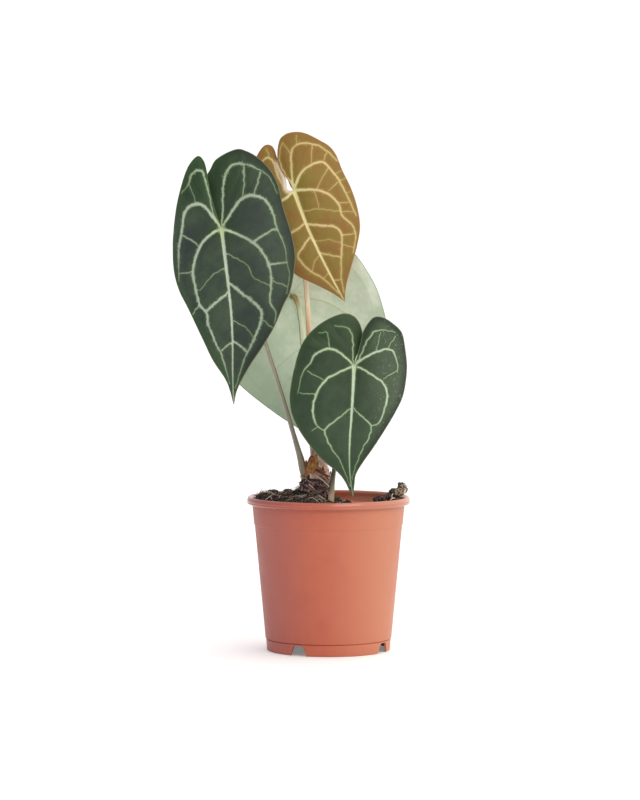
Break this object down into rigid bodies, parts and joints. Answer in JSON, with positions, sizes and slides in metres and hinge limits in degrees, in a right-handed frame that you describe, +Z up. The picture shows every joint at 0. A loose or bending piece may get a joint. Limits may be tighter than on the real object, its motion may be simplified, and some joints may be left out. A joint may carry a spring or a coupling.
{
  "type": "potted anthurium",
  "caption": "Potted velvet-leaf anthurium: heart-shaped leaves with pale net veins on slim stalks from a short rootstock, in a terracotta-coloured nursery pot.",
  "frame": {"origin": "middle of the whole plant's bounding box, on the surface that the pot stands on; the pot's own axis is 27.2 mm along +X from it", "axes": "+Z up, front of the plant towards -Y, +X to the right seen from the front"},
  "size_m": [0.1744, 0.12, 0.3807],
  "materials": {
    "terracotta_plastic": "satin",
    "potting_mix": "matte",
    "rootstock": "matte",
    "dried_sheath": "matte",
    "bark": "matte",
    "stalk_left": "satin",
    "stalk_young": "satin",
    "stalk_rear": "satin",
    "stalk_right": "satin",
    "blade_dark": "satin",
    "blade_young": "satin",
    "blade_rear": "satin"
  },
  "bodies": {
    "root": {"nursery_pot": "terracotta_plastic", "potting_mix": "potting_mix", "rootstock": "rootstock", "leaf_stalk_left": "stalk_left", "leaf_stalk_young": "stalk_young", "leaf_stalk_rear": "stalk_rear", "leaf_stalk_right": "stalk_right", "leaf_blade_left": "blade_dark", "leaf_blade_young": "blade_young", "leaf_blade_rear": "blade_rear", "leaf_blade_right": "blade_dark", "bud_sheath_front": "dried_sheath", "bud_sheath_left": "dried_sheath", "bud_sheath_right": "dried_sheath", "bark_chunk": "bark", "bark_chip_1": "bark", "bark_chip_2": "bark", "bark_chip_3": "bark", "bark_chip_4": "bark", "bark_chip_5": "bark", "bark_chip_6": "bark", "bark_chip_7": "bark", "bark_chip_8": "bark"}
  },
  "joints": []
}
